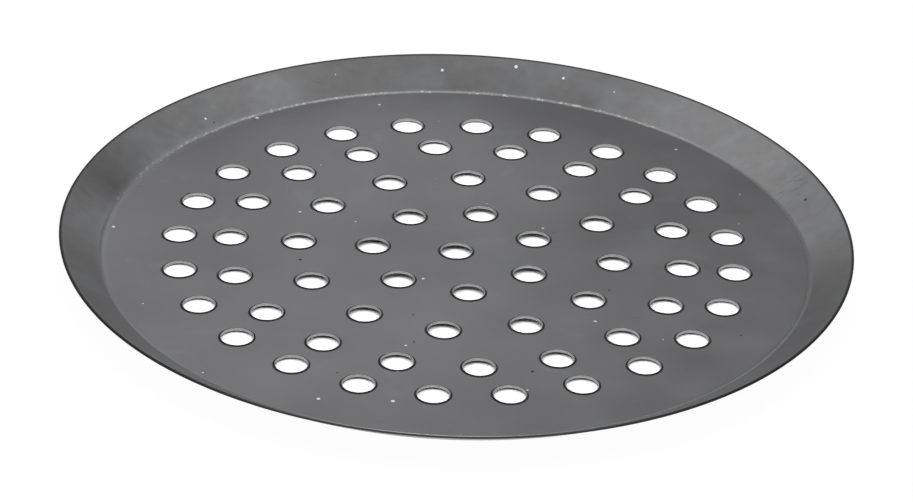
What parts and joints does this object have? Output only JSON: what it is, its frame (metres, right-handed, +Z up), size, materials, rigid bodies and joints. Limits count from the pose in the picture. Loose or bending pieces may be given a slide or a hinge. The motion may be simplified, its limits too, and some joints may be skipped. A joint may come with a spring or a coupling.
{
  "type": "pizza pan",
  "caption": "Round perforated pizza pan in dark hard-anodised aluminium sheet, with a crowned base, rings of round holes and a low sloping wall.",
  "frame": {"origin": "middle of the pan, level with the surface that it stands on", "axes": "+Z up out of the dish, along the pan's axis; +X runs from the middle through a hole of each of the three outer rings"},
  "size_m": [0.305, 0.305, 0.011],
  "materials": {
    "anodised_aluminium": "satin dark grey hard anodising with faint cloudy mottling and fine handling marks"
  },
  "bodies": {
    "root": {"pan": "anodised_aluminium"}
  },
  "joints": []
}
